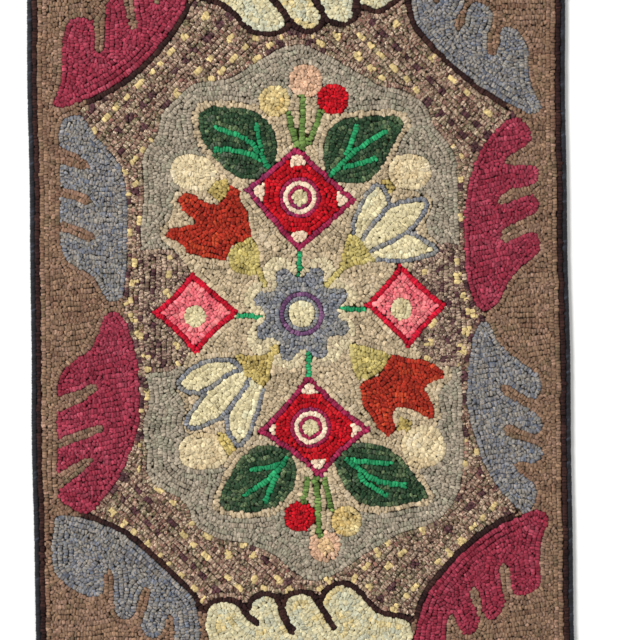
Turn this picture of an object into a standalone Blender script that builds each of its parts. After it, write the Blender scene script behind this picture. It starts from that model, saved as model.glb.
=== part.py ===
"""Hand-hooked wool rug, 24 x 36 in, with a whipped edge.

Units are metres and +Z is up. The rug lies flat with its reverse on Z = 0, its length along Y,
and the middle of its underside at the origin. It has two pieces: the slab of hooked pile with
the burlap inside it, and the ring of yarn-whipped edge that is sewn round it.
"""

import math

import bmesh
import bpy
from mathutils import Matrix

# Driving dimensions of the finished rug
RUG_WIDTH = 0.610
RUG_LENGTH = 0.914
RUG_THICKNESS = 0.0080  # from the stitches on the reverse to the tops of the loops
CORNER_RADIUS = 0.018  # at the outside of the whipped edge
SEAM_GAP = 0.0003  # between the pile and the whipped edge

# Whipped edge: yarn wrapped over the folded hem, with a flat foot where it lies on the floor
EDGE_WIDTH = 0.0070
EDGE_HEIGHT = 0.0064
EDGE_FOOT_WIDTH = 0.0030
EDGE_PROFILE_STEPS = 9  # round the back of its section, from one side of the foot to the other

# The worn rim of the pile
RIM_RADIUS = 0.0022
RIM_STEPS = 3

# A handmade edge isn't straight. Each row: turns round the rug, reach in metres, phase
EDGE_WANDER = ((3, 0.00060, 0.4), (7, 0.00050, 2.1), (16, 0.00035, 4.4))
STATION_STEP = 0.0140  # distance between the outline's points on the straight runs
CORNER_STEPS = 6

PILE_COLOUR = (0.195, 0.130, 0.090, 1.0)
EDGE_COLOUR = (0.018, 0.020, 0.028, 1.0)
WOOL_ROUGHNESS = 0.95


def clear_scene():
    for item in list(bpy.data.objects):
        bpy.data.objects.remove(item, do_unlink=True)


def make_collection(name):
    collection = bpy.data.collections.new(name)
    bpy.context.scene.collection.children.link(collection)
    return collection


def wool_material(name, colour):
    material = bpy.data.materials.new(name)
    material.use_nodes = True
    shader = material.node_tree.nodes["Principled BSDF"]
    shader.inputs["Base Color"].default_value = colour
    shader.inputs["Roughness"].default_value = WOOL_ROUGHNESS
    shader.inputs["Metallic"].default_value = 0.0
    return material


def outline_stations():
    """Walks once round the rug: each station is a point inside the edge and the way out of it."""
    half_x = RUG_WIDTH / 2 - CORNER_RADIUS
    half_y = RUG_LENGTH / 2 - CORNER_RADIUS
    centres = ((half_x, half_y), (-half_x, half_y), (-half_x, -half_y), (half_x, -half_y))
    stations = []
    for corner, (start_x, start_y) in enumerate(centres):
        for step in range(CORNER_STEPS + 1):
            angle = math.radians(90) * (corner + step / CORNER_STEPS)
            stations.append((start_x, start_y, math.cos(angle), math.sin(angle)))
        end_x, end_y = centres[(corner + 1) % len(centres)]
        out_x, out_y = stations[-1][2:]
        steps = round(math.dist((start_x, start_y), (end_x, end_y)) / STATION_STEP)
        for step in range(1, steps):
            share = step / steps
            base_x = start_x + (end_x - start_x) * share
            base_y = start_y + (end_y - start_y) * share
            stations.append((base_x, base_y, out_x, out_y))
    return stations


def wander(share):
    """How far the edge stands out of true at this share of the way round."""
    turn = 2 * math.pi * share
    return sum(reach * math.sin(turns * turn + phase) for turns, reach, phase in EDGE_WANDER)


def outline(inset):
    """The rug's outline as XY points, this far inside its outer edge, centred and at full size."""
    stations = outline_stations()
    rim = []
    for index, (base_x, base_y, out_x, out_y) in enumerate(stations):
        reach = CORNER_RADIUS + wander(index / len(stations))
        rim.append((base_x + reach * out_x, base_y + reach * out_y))
    xs, ys = zip(*rim)
    fit_x = RUG_WIDTH / (max(xs) - min(xs))
    fit_y = RUG_LENGTH / (max(ys) - min(ys))
    middle_x = (min(xs) + max(xs)) / 2
    middle_y = (min(ys) + max(ys)) / 2
    return [
        ((x - middle_x) * fit_x - inset * out_x, (y - middle_y) * fit_y - inset * out_y)
        for (x, y), (_, _, out_x, out_y) in zip(rim, stations)
    ]


def closed_curve(name, points):
    curve = bpy.data.curves.new(name, "CURVE")
    curve.dimensions = "2D"
    spline = curve.splines.new("POLY")
    spline.points.add(len(points) - 1)
    for place, (x, y) in zip(spline.points, points):
        place.co = (x, y, 0.0, 1.0)
    spline.use_cyclic_u = True
    return curve


def piece_from_curve(curve, name, height, collection, material):
    """Makes a welded mesh object of the curve's solid, lifted by height, and drops the curve."""
    source = bpy.data.objects.new(name + "_curve", curve)
    collection.objects.link(source)
    evaluated = source.evaluated_get(bpy.context.evaluated_depsgraph_get())
    mesh = bpy.data.meshes.new_from_object(evaluated)
    mesh.name = name
    bpy.data.objects.remove(source, do_unlink=True)

    solid = bmesh.new()
    solid.from_mesh(mesh)
    bmesh.ops.remove_doubles(solid, verts=solid.verts, dist=0.00001)
    bmesh.ops.transform(solid, matrix=Matrix.Translation((0, 0, height)), verts=solid.verts)
    bmesh.ops.recalc_face_normals(solid, faces=solid.faces)
    solid.to_mesh(mesh)
    solid.free()

    piece = bpy.data.objects.new(name, mesh)
    mesh.materials.clear()
    mesh.materials.append(material)
    collection.objects.link(piece)
    return piece


def round_top_rim(piece):
    """Rounds the pile's top rim, where the outermost loops are worn down."""
    solid = bmesh.new()
    solid.from_mesh(piece.data)
    within_faces = [
        edge
        for edge in solid.edges
        if all(abs(face.normal.z) > 0.99 for face in edge.link_faces)
    ]
    bmesh.ops.dissolve_edges(solid, edges=within_faces, use_verts=False)
    weight = solid.edges.layers.float.new("bevel_weight_edge")
    for edge in solid.edges:
        if all(corner.co.z > RUG_THICKNESS / 2 for corner in edge.verts):
            edge[weight] = 1.0
    solid.to_mesh(piece.data)
    solid.free()

    rim = piece.modifiers.new("Worn rim", "BEVEL")
    rim.limit_method = "WEIGHT"
    rim.width = RIM_RADIUS
    rim.segments = RIM_STEPS


def hooked_pile(collection):
    """The slab of foundation and loops, flat above and below."""
    curve = closed_curve("hooked_rug_outline", outline(EDGE_WIDTH + SEAM_GAP))
    curve.fill_mode = "BOTH"
    curve.extrude = RUG_THICKNESS / 2
    material = wool_material("Wool pile", PILE_COLOUR)
    piece = piece_from_curve(curve, "hooked_rug", RUG_THICKNESS / 2, collection, material)
    round_top_rim(piece)
    return piece


def edge_section():
    """Section of the whipped edge: a flat foot, then a round back over the top."""
    half_width = EDGE_WIDTH / 2
    half_height = EDGE_HEIGHT / 2
    foot_angle = math.asin(EDGE_FOOT_WIDTH / EDGE_WIDTH)
    back_angle = 2 * math.pi - 2 * foot_angle
    section = []
    for step in range(EDGE_PROFILE_STEPS + 1):
        angle = foot_angle + back_angle * step / EDGE_PROFILE_STEPS
        section.append((half_width * math.sin(angle), -half_height * math.cos(angle)))
    return section


def whipped_edge(collection, guides):
    """The ring of yarn wraps round the rug."""
    section = bpy.data.objects.new("edge_section", closed_curve("edge_section", edge_section()))
    section.hide_render = True
    section.display_type = "WIRE"
    guides.objects.link(section)

    curve = closed_curve("binding_path", outline(EDGE_WIDTH / 2))
    curve.dimensions = "3D"
    curve.twist_mode = "Z_UP"
    curve.bevel_mode = "OBJECT"
    curve.bevel_object = section
    foot_drop = EDGE_HEIGHT / 2 * math.cos(math.asin(EDGE_FOOT_WIDTH / EDGE_WIDTH))
    material = wool_material("Whipping yarn", EDGE_COLOUR)
    piece = piece_from_curve(curve, "binding", foot_drop, collection, material)
    piece.data.shade_smooth()
    piece.data.set_sharp_from_angle(angle=math.radians(50))
    bpy.data.objects.remove(section, do_unlink=True)
    return piece


def main():
    clear_scene()
    rug = make_collection("Hooked rug")
    guides = make_collection("Guides")
    hooked_pile(rug)
    whipped_edge(rug, guides)


main()
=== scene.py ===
import math

import bpy
import numpy as np
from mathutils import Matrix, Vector


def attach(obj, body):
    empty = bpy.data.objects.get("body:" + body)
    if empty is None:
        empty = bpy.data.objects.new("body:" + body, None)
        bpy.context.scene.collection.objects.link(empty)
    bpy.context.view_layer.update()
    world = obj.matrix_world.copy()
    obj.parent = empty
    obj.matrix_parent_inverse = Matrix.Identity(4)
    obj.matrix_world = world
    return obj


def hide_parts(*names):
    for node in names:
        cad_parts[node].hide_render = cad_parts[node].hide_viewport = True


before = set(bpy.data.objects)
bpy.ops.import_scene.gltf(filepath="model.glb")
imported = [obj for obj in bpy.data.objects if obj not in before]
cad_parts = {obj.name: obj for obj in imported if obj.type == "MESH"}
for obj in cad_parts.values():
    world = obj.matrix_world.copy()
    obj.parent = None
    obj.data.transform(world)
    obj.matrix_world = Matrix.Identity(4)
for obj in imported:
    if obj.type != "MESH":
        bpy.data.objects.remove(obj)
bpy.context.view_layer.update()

# The pattern is drawn flat in millimetres, x to the right and y up, and turned into metres at the end.
mm = 0.001
rng = np.random.default_rng(7)


# Plain outlines

def smoothPath(points, closed=False, steps=6):
    # Catmull-Rom through a few points; a third column, such as a half-width, is carried along
    pts = [np.array(p, float) for p in points]
    n = len(pts)
    out = []
    for i in range(n if closed else n - 1):
        if closed:
            a, b, c, d = pts[i - 1], pts[i], pts[(i + 1) % n], pts[(i + 2) % n]
        else:
            b, c = pts[i], pts[i + 1]
            a = pts[i - 1] if i else 2 * b - c
            d = pts[i + 2] if i + 2 < n else 2 * c - b
        for s in range(steps):
            t = s / steps
            curve = (2 * a - 5 * b + 4 * c - d) * t * t + (3 * b - a - 3 * c + d) * t ** 3
            out.append(0.5 * (2 * b + (c - a) * t + curve))
    if not closed:
        out.append(pts[-1])
    return np.array(out)


def rounded(outlines, steps=4):
    return [smoothPath(outline, True, steps) for outline in outlines]


def oval(centre, halfLength, halfWidth=None, turn=0, squareness=2.0, steps=48):
    halfWidth = halfWidth or halfLength
    a = np.linspace(0, 2 * math.pi, steps, endpoint=False)
    u = halfLength * np.sign(np.cos(a)) * np.abs(np.cos(a)) ** (2 / squareness)
    v = halfWidth * np.sign(np.sin(a)) * np.abs(np.sin(a)) ** (2 / squareness)
    t = math.radians(turn)
    x = centre[0] + u * math.cos(t) - v * math.sin(t)
    y = centre[1] + u * math.sin(t) + v * math.cos(t)
    return np.stack([x, y], 1)


def hollowDiamond(diamond, steps=8):
    # four tips joined by sides that bow inwards by a share of their length
    tips = [np.array(tip, float) for tip in diamond["tips"]]
    middle = sum(tips) / 4
    out = []
    for a, b, hollow in zip(tips, tips[1:] + tips[:1], diamond["hollows"]):
        inward = middle - (a + b) / 2
        inward /= np.hypot(*inward)
        control = (a + b) / 2 + inward * hollow * np.hypot(*(b - a)) * 2
        for s in range(steps):
            t = s / steps
            out.append((1 - t) ** 2 * a + 2 * t * (1 - t) * control + t * t * b)
    return np.array(out)


def starShape(centre, tipReach, notchReach, petals, turn, blunt, steps=96):
    a = np.linspace(0, 2 * math.pi, steps, endpoint=False)
    wave = np.cos(petals * (a - math.radians(turn)))
    wave = np.sign(wave) * np.abs(wave) ** blunt
    r = (tipReach + notchReach) / 2 + (tipReach - notchReach) / 2 * wave
    return np.stack([centre[0] + r * np.cos(a), centre[1] + r * np.sin(a)], 1)


# The cloth as a grid of cells, each with the dye that is hooked there

def rimOf(node):
    # the corner-rounded outline of the node's underside
    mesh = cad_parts[node].data
    co = np.empty(len(mesh.vertices) * 3, np.float32)
    mesh.vertices.foreach_get("co", co)
    co = co.reshape(-1, 3) / mm
    low = co[co[:, 2] < co[:, 2].min() + 0.1, :2]
    low = np.unique(low.round(2), axis=0)
    return low[np.argsort(np.arctan2(low[:, 1], low[:, 0]))].astype(float)


cell = 1.0
margin = 2
rim = rimOf("hooked_rug")
gridLow = rim.min(0) - margin
cellsX, cellsY = np.ceil((rim.max(0) + margin - gridLow) / cell).astype(int)
xs = gridLow[0] + (np.arange(cellsX) + 0.5) * cell
ys = gridLow[1] + (np.arange(cellsY) + 0.5) * cell
gridX, gridY = np.meshgrid(xs, ys)
print("rim", len(rim), "points,", rim.min(0), rim.max(0))


def window(low, high):
    # the slices of the grid that hold a box
    i0, j0 = np.maximum(0, ((np.array(low) - gridLow) / cell).astype(int) - 1)
    i1, j1 = np.minimum((cellsX, cellsY), ((np.array(high) - gridLow) / cell).astype(int) + 2)
    return slice(j0, max(j0, j1)), slice(i0, max(i0, i1))


def inside(outline):
    mask = np.zeros(gridX.shape, bool)
    area = window(outline.min(0), outline.max(0))
    x, y = gridX[area], gridY[area]
    odd = np.zeros(x.shape, bool)
    for (ax, ay), (bx, by) in zip(outline, np.roll(outline, -1, axis=0)):
        if ay != by:
            odd ^= ((ay > y) != (by > y)) & (x < (bx - ax) * (y - ay) / (by - ay) + ax)
    mask[area] = odd
    return mask


def strokeMask(points, reach=None):
    # cells within reach of a path, or within its own third column
    pts = np.asarray(points, float)
    radii = pts[:, 2] if reach is None else np.full(len(pts), float(reach))
    mask = np.zeros(gridX.shape, bool)
    for a, b, ra, rb in zip(pts[:-1, :2], pts[1:, :2], radii[:-1], radii[1:]):
        r = max(ra, rb)
        area = window(np.minimum(a, b) - r, np.maximum(a, b) + r)
        x, y = gridX[area] - a[0], gridY[area] - a[1]
        ex, ey = b - a
        t = np.clip((x * ex + y * ey) / max(ex * ex + ey * ey, 1e-9), 0, 1)
        mask[area] |= np.hypot(x - t * ex, y - t * ey) < ra + (rb - ra) * t
    return mask


def toOther(kinds, most):
    # distance from each cell to the nearest cell of another kind, up to most
    ny, nx = kinds.shape
    big = float(most)
    side = np.full((ny, nx), big)
    differs = kinds[:, 1:] != kinds[:, :-1]
    for order in (range(nx), range(nx - 1, -1, -1)):
        forward = order[0] == 0
        run = np.full(ny, big)
        for i in order:
            if i != order[0]:
                run = np.where(differs[:, i - 1 if forward else i], 1.0, run + 1)
            side[:, i] = np.minimum(side[:, i], run)
    square = side ** 2
    best = square.copy()
    for k in range(1, int(most) + 1):
        apart = kinds[k:] != kinds[:-k]
        best[:-k] = np.minimum(best[:-k], np.where(apart, float(k * k), square[k:] + k * k))
        best[k:] = np.minimum(best[k:], np.where(apart, float(k * k), square[:-k] + k * k))
    return np.minimum(np.sqrt(best), most) * cell - 0.5 * cell


def outwards(mask, most):
    # distance to the mask's edge, less than nothing inside it
    away = toOther(mask.astype(np.int8), most)
    return np.where(mask, -away, away)


def grown(mask, reach):
    return outwards(mask, abs(reach) + 2) < reach


def blurred(field, reach, times):
    for _ in range(times):
        for axis in (0, 1):
            pad = [(0, 0), (0, 0)]
            pad[axis] = (reach + 1, reach)
            total = np.cumsum(np.pad(field, pad, mode="edge"), axis=axis)
            n = field.shape[axis]
            high = np.take(total, range(2 * reach + 1, n + 2 * reach + 1), axis)
            field = (high - np.take(total, range(n), axis)) / (2 * reach + 1)
    return field


def contourLines(field, level):
    # paths where the field crosses the level, each with a flag that says whether it closes
    ny, nx = field.shape
    high = field > level
    code = high[:-1, :-1] + 2 * high[:-1, 1:] + 4 * high[1:, 1:] + 8 * high[1:, :-1]
    j, i = np.nonzero((code > 0) & (code < 15))
    if not len(j):
        return []
    kind = code[j, i]
    flat = j * nx + i
    total = nx * ny
    bottom, top, left, right = flat, flat + nx, total + flat, total + flat + 1
    sides = {1: ((left, bottom),), 2: ((bottom, right),), 3: ((left, right),), 4: ((right, top),),
             5: ((left, top), (bottom, right)), 6: ((bottom, top),), 7: ((left, top),),
             8: ((left, top),), 9: ((bottom, top),), 10: ((left, bottom), (right, top)),
             11: ((right, top),), 12: ((left, right),), 13: ((bottom, right),), 14: ((left, bottom),)}
    first = np.concatenate([a[kind == value] for value, pairs in sides.items() for a, b in pairs])
    second = np.concatenate([b[kind == value] for value, pairs in sides.items() for a, b in pairs])
    edges = np.unique(np.concatenate([first, second]))
    ej, ei = edges % total // nx, edges % total % nx
    level0, alongX = field[ej, ei], edges < total
    ei1, ej1 = np.where(alongX, ei + 1, ei), np.where(alongX, ej, ej + 1)
    level1 = field[ej1, ei1]
    t = (level - level0) / np.where(level1 == level0, 1, level1 - level0)
    points = np.stack([xs[ei] + t * (xs[ei1] - xs[ei]), ys[ej] + t * (ys[ej1] - ys[ej])], 1)
    near = [[-1, -1] for _ in edges]
    for p, q in zip(np.searchsorted(edges, first).tolist(), np.searchsorted(edges, second).tolist()):
        near[p][0 if near[p][0] < 0 else 1] = q
        near[q][0 if near[q][0] < 0 else 1] = p
    done = [False] * len(edges)
    lines = []
    openEnds = [k for k in range(len(edges)) if near[k][1] < 0]
    for start in openEnds + list(range(len(edges))):
        if done[start]:
            continue
        path, here = [start], start
        done[start] = True
        while True:
            step = next((q for q in near[here] if q >= 0 and not done[q]), -1)
            if step < 0:
                break
            done[step] = True
            path.append(step)
            here = step
        lines.append((points[path], len(path) > 2 and start in near[here]))
    return lines


# Dyes: strips of cloth, each as sRGB red, green, blue and its share. Threads are the odd fibres in
# them, patchy gathers like strips into patches, and heather is how far the odd fibres show
dyes = {
    "taupe": {"strips": [(118, 88, 71, 3), (135, 107, 85, 4), (146, 116, 98, 2), (112, 94, 72, 2)],
              "patchy": 0.35, "heather": 0.7},
    "slotTaupe": {"strips": [(120, 92, 73, 3), (139, 108, 90, 4), (113, 97, 75, 2)],
                  "patchy": 0.2, "heather": 0.7},
    "tweed": {"strips": [(108, 82, 70, 3), (131, 105, 89, 4), (116, 106, 82, 2), (152, 128, 108, 2),
                         (82, 53, 51, 0.7), (183, 156, 113, 0.5)],
              "threads": [(61, 37, 37, 3), (204, 178, 152, 3), (102, 96, 64, 2), (224, 199, 172, 1),
                          (147, 98, 88, 2)], "patchy": 0.2, "heather": 1.0},
    "mauve": {"strips": [(117, 89, 82, 3), (141, 114, 101, 3), (161, 138, 118, 3)],
              "threads": [(67, 40, 43, 3), (206, 182, 155, 3), (115, 106, 77, 2)],
              "patchy": 0.2, "heather": 1.0},
    "sage": {"strips": [(143, 130, 112, 3), (157, 145, 127, 4), (142, 138, 118, 2), (171, 158, 138, 2)],
             "patchy": 0.3, "heather": 0.8},
    "beige": {"strips": [(165, 146, 117, 3), (183, 163, 132, 5), (197, 179, 151, 2)], "patchy": 0.4},
    "cream": {"strips": [(196, 182, 141, 3), (210, 197, 157, 5), (220, 213, 177, 2)],
              "patchy": 0.3, "heather": 0.4},
    "halo": {"strips": [(192, 177, 141, 3), (202, 188, 153, 4), (185, 167, 139, 3)],
             "patchy": 0.5, "heather": 0.5},
    "blueGrey": {"strips": [(126, 128, 133, 5), (142, 140, 133, 3)],
                 "threads": [(164, 156, 146, 2), (96, 102, 115, 3), (111, 109, 109, 2)],
                 "patchy": 0.3, "heather": 0.9},
    "crimson": {"strips": [(132, 40, 56, 3), (145, 51, 68, 4), (163, 68, 85, 2)],
                "patchy": 0.3, "heather": 0.6},
    "slate": {"strips": [(119, 119, 123, 5), (130, 126, 119, 3), (106, 112, 123, 2)],
              "threads": [(164, 152, 138, 3), (89, 99, 118, 3), (140, 135, 126, 2), (103, 91, 83, 1)],
              "patchy": 0.5, "heather": 1.0},
    "endCream": {"strips": [(205, 183, 125, 3), (201, 191, 154, 5), (189, 189, 166, 4)],
                 "patchy": 0.3, "heather": 0.6},
    "red": {"strips": [(162, 12, 24, 3), (182, 19, 31, 5), (196, 33, 41, 2)], "patchy": 0.2},
    "wine": {"strips": [(142, 34, 66, 3), (156, 42, 76, 4), (130, 46, 84, 2)],
             "patchy": 0.4, "heather": 0.5},
    "pink": {"strips": [(207, 84, 96, 3), (225, 108, 116, 5), (235, 133, 132, 3)],
             "patchy": 0.2, "heather": 0.6},
    "hotRed": {"strips": [(176, 16, 38, 3), (192, 24, 48, 5)], "patchy": 0.2},
    "rust": {"strips": [(142, 38, 28, 3), (162, 47, 32, 5), (182, 68, 40, 2)],
             "patchy": 0.3, "heather": 0.6},
    "leafGreen": {"strips": [(32, 55, 36, 4), (49, 74, 50, 4), (99, 115, 80, 2), (86, 94, 78, 1)],
                  "patchy": 0.15, "heather": 0.8},
    "veinGreen": {"strips": [(32, 126, 80, 2), (44, 148, 94, 4)], "patchy": 0.1},
    "stemGreen": {"strips": [(92, 120, 60, 3), (112, 138, 74, 4)], "patchy": 0.1},
    "olive": {"strips": [(168, 150, 86, 3), (183, 167, 102, 5), (197, 182, 123, 2)],
              "patchy": 0.4, "heather": 0.5},
    "ochre": {"strips": [(169, 146, 84, 3), (188, 167, 102, 4)], "patchy": 0.3, "heather": 0.5},
    "peach": {"strips": [(188, 148, 118, 3), (205, 165, 135, 5), (213, 182, 153, 2)],
              "patchy": 0.3, "heather": 0.4},
    "apricot": {"strips": [(197, 161, 118, 3), (210, 176, 132, 4)], "patchy": 0.2, "heather": 0.4},
    "yellow": {"strips": [(187, 158, 97, 3), (200, 177, 123, 5), (208, 192, 143, 2)],
               "patchy": 0.3, "heather": 0.4},
    "purple": {"strips": [(100, 67, 100, 3), (118, 81, 113, 4)], "patchy": 0.1, "heather": 0.4},
    "brown": {"strips": [(44, 27, 26, 4), (58, 36, 32, 4)], "patchy": 0.1},
    "ringCream": {"strips": [(216, 186, 158, 3), (230, 206, 178, 4)], "patchy": 0.1},
    "paleGreen": {"strips": [(195, 178, 136, 3), (207, 194, 153, 4)], "patchy": 0.2, "heather": 0.4},
    "budCream": {"strips": [(194, 172, 133, 3), (208, 190, 152, 5), (218, 203, 171, 2)],
                 "patchy": 0.4, "heather": 0.4},
}
flecks = {"yellow": (208, 184, 128), "plum": (76, 46, 52)}
fleckHeather = 0.15
dyeNumber = {name: number for number, name in enumerate(dyes)}

labels = np.where(inside(rim), 0, -1).astype(np.int16)
rugMask = labels == 0
lineRows = []  # rows of loops that draw a line: path, closed, row width, dye


def paint(mask, dye, over=None):
    hooked = mask & (labels >= 0)
    if over:
        hooked &= np.isin(labels, [dyeNumber[name] for name in over])
    labels[hooked] = dyeNumber[dye]
    return hooked


def outlineRow(mask, offset, dye, width, over=None):
    # one row of loops that follows the edge of a shape at an offset, outwards being positive
    away = outwards(mask, abs(offset) + width + 3)
    paint(np.abs(away - offset) < width / 2, dye, over)
    lineRows.extend((path, closed, width, dye) for path, closed in contourLines(away, offset))


def drawnRow(path, dye, width, closed=False):
    ring = np.vstack([path, path[:1]]) if closed else path
    paint(strokeMask(ring[:, :2], width / 2), dye)
    lineRows.append((path[:, :2], closed, width, dye))


ground = {
    "rowWidth": 6.3,
    "medallion": [(-175, 169), (-171, 186), (-159, 199), (-152, 225), (-136, 242), (-117, 258),
        (-95, 261), (-75, 264), (-52, 278), (-23, 295), (4, 301), (34, 289), (69, 269), (95, 253),
        (117, 249), (146, 230), (153, 208), (168, 190), (179, 163), (181, 78), (181, 0), (181, -90),
        (182, -158), (178, -197), (167, -221), (145, -240), (113, -250), (90, -261), (63, -277),
        (35, -296), (9, -303), (-11, -293), (-29, -276), (-60, -261), (-97, -253), (-123, -237),
        (-131, -213), (-160, -196), (-175, -180), (-174, -155), (-179, -128), (-171, -94), (-178, -40),
        (-178, 84), (-174, 132)],
    "tweedCorners": [(-246, 230), (-197, 10), (-249, -226), (-112, -337), (123, -351), (242, -229),
        (208, -130), (207, 100), (212, 165), (247, 217), (118, 362), (-107, 362)],
    "sidePatches": [((-160, 4), 42, 70), ((165, 5), 43, 70)],  # centre, half width, half length
    "sideFrom": 150,  # the rows run straight in the ground beyond this
    "beigeStem": 4, "beigeReach": 26, "beigeBack": 19,
    "edgeRow": 6.4, "leafRow": 6.5,
}
row = ground["rowWidth"]
medallion = inside(smoothPath(ground["medallion"], True, 4))
paint(inside(np.array(ground["tweedCorners"], float)), "tweed")
paint(medallion, "sage")

redDiamonds = {
    "top": {"tips": [(-1, 188), (67, 125), (0, 67), (-61, 139)], "hollows": [0.01, 0.0, -0.01, 0.01],
            "eye": (2, 129)},
    "bottom": {"tips": [(8, -69), (79, -133), (20, -189), (-52, -135)], "hollows": [0.03, 0.04, 0.05, 0.03],
               "eye": (10, -130)},
}
pinkDiamonds = {
    "left": {"tips": [(-121, 47), (-67, 0), (-118, -50), (-168, 1)], "hollows": [0.0, 0.06, 0.06, 0.04],
             "eye": (-118, -3)},
    "right": {"tips": [(114, 54), (167, 5), (122, -44), (72, 7)], "hollows": [0.03, 0.03, 0.03, 0.03],
              "eye": (114, 2)},
}
starFlower = {
    "centre": (2, -2), "rings": [(22.8, "purple", 5.8), (17.8, "blueGrey", 5.0)], "eye": 14.8,
    "shape": {"tipReach": 56.5, "notchReach": 40, "petals": 8, "turn": 25, "blunt": 0.45},
    "halo": 10.5, "haloMost": 24,
}
greenLeaves = [
    [(-111, 224), (-102, 231), (-81, 232), (-53, 228), (-36, 218), (-25, 200), (-24, 174), (-34, 155),
     (-55, 150), (-75, 156), (-97, 180), (-108, 199)],
    [(121, 213), (107, 219), (59, 217), (39, 208), (30, 190), (30, 168), (38, 149), (61, 144), (79, 147),
     (98, 166), (107, 187), (117, 203)],
    [(-93, -208), (-91, -219), (-71, -224), (-45, -223), (-27, -216), (-12, -202), (-6, -184), (-9, -164),
     (-24, -153), (-47, -149), (-63, -158), (-76, -174)],
    [(38, -161), (38, -173), (44, -192), (58, -211), (73, -220), (96, -220), (119, -216), (140, -212),
     (137, -201), (122, -180), (107, -162), (88, -151), (65, -148), (48, -153)],
]
leafVeins = [[(-32, 162), (-53, 192), (-91, 209)], [(-41, 181), (-46, 212)],
    [(-37, 172), (-65, 182), (-92, 184)], [(37, 154), (66, 181), (99, 202)], [(54, 171), (67, 208)],
    [(46, 162), (60, 164), (87, 171)], [(-18, -166), (-36, -186), (-66, -205)],
    [(-22, -170), (-34, -173), (-57, -177)], [(-28, -180), (-42, -213)],
    [(50, -167), (82, -190), (115, -197)], [(56, -168), (99, -172)], [(64, -178), (70, -192), (93, -207)]]
berries = {"dyes": ["yellow", "peach", "red", "red", "yellow", "peach"],
           "radii": [17.8, 19.4, 17.8, 17.6, 17.4, 17.8],
           "centres": [(-25, 238), (10, 260), (41, 239), (-4, -230), (49, -236), (24, -264)],
           "inner": [(25, -264), 9.5]}
buds = [
    {"centre": (-117, 159), "size": (26, 20), "turn": -12},
    {"centre": (126, 156), "size": (24, 20), "turn": -3},
    {"centre": (-111, -155), "size": (28, 21), "turn": 0},
    {"centre": (137, -154), "size": (25, 24), "turn": 20},
]
budCups = [[(-93, 149), (-79, 152), (-77, 140), (-86, 124), (-103, 135)],
           [(96, 147), (102, 149), (110, 136), (103, 130), (94, 140)],
           [(-93, -134), (-84, -136), (-74, -155), (-82, -161), (-93, -145)],
           [(110, -119), (125, -126), (120, -136), (107, -134)]]
rustLilies = [
    [(-136, 128), (-127, 137), (-114, 132), (-104, 126), (-92, 122), (-82, 132), (-78, 143), (-64, 138),
     (-67, 130), (-61, 120), (-56, 111), (-58, 103), (-54, 95), (-53, 86), (-62, 82), (-72, 79),
     (-78, 73), (-80, 65), (-84, 59), (-96, 61), (-107, 63), (-118, 67), (-127, 68), (-129, 75),
     (-137, 80), (-145, 84), (-151, 90), (-145, 96), (-132, 98), (-121, 100), (-114, 102), (-122, 108),
     (-128, 114), (-132, 121)],
    [(101, -49), (112, -51), (125, -54), (141, -56), (153, -64), (164, -73), (154, -79), (143, -83),
     (138, -89), (145, -97), (148, -107), (150, -118), (147, -124), (138, -119), (128, -113), (117, -110),
     (108, -110), (103, -115), (105, -128), (104, -137), (97, -141), (88, -134), (82, -127), (77, -117),
     (69, -106), (67, -94), (67, -82), (75, -78), (87, -73), (95, -64), (98, -55)],
]
creamPetals = [
    [(64, 88), (62, 98), (67, 110), (73, 122), (77, 130), (84, 138), (90, 142), (97, 136), (101, 128),
     (102, 118), (92, 107), (80, 94), (71, 82)],
    [(71, 82), (80, 94), (92, 107), (104, 118), (120, 122), (135, 125), (144, 123), (143, 116),
     (138, 106), (130, 95), (122, 88), (111, 82), (100, 76), (91, 72), (81, 66), (74, 74)],
    [(81, 65), (91, 72), (100, 76), (111, 82), (122, 88), (132, 85), (142, 78), (152, 71), (155, 66),
     (147, 62), (134, 59), (118, 56), (102, 56), (87, 58)],
    [(-136, -82), (-129, -71), (-119, -61), (-108, -55), (-93, -53), (-80, -54), (-70, -60), (-68, -65),
     (-78, -67), (-89, -74), (-100, -83), (-110, -89), (-119, -92), (-130, -87)],
    [(-128, -124), (-125, -115), (-120, -106), (-112, -95), (-100, -83), (-89, -74), (-78, -67),
     (-68, -65), (-60, -74), (-62, -82), (-69, -93), (-77, -103), (-83, -112), (-93, -119), (-103, -123),
     (-114, -128), (-123, -128)],
    [(-83, -112), (-77, -103), (-69, -93), (-61, -82), (-57, -77), (-48, -80), (-43, -86), (-46, -99),
     (-49, -112), (-54, -123), (-58, -134), (-64, -143), (-71, -150), (-76, -145), (-82, -136),
     (-84, -125)],
]
petalLines = [
    [(62, 89), (62, 99), (67, 112), (72, 122), (76, 129), (83, 138), (90, 142), (97, 137), (101, 128),
     (103, 119)],
    [(72, 81), (80, 93), (92, 107), (104, 118), (120, 122), (135, 125), (142, 124), (145, 118),
     (138, 105), (130, 95), (122, 88), (111, 82), (100, 76), (91, 72), (82, 67)],
    [(122, 88), (132, 85), (142, 78), (151, 72), (155, 67), (147, 62), (134, 59), (118, 56), (102, 56),
     (89, 58)],
    [(-68, -60), (-77, -54), (-91, -53), (-104, -54), (-116, -58), (-126, -65), (-134, -73), (-138, -81),
     (-130, -87), (-119, -90), (-110, -87), (-100, -82), (-89, -74), (-78, -67), (-67, -65)],
    [(-109, -91), (-114, -98), (-121, -107), (-127, -115), (-129, -123), (-125, -129), (-114, -128),
     (-103, -123), (-93, -119), (-83, -110), (-76, -101), (-68, -91), (-62, -82), (-59, -76)],
    [(-84, -114), (-84, -125), (-82, -136), (-76, -144), (-71, -150), (-64, -144), (-58, -135),
     (-54, -123), (-49, -112), (-46, -99), (-43, -88)],
]
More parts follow.
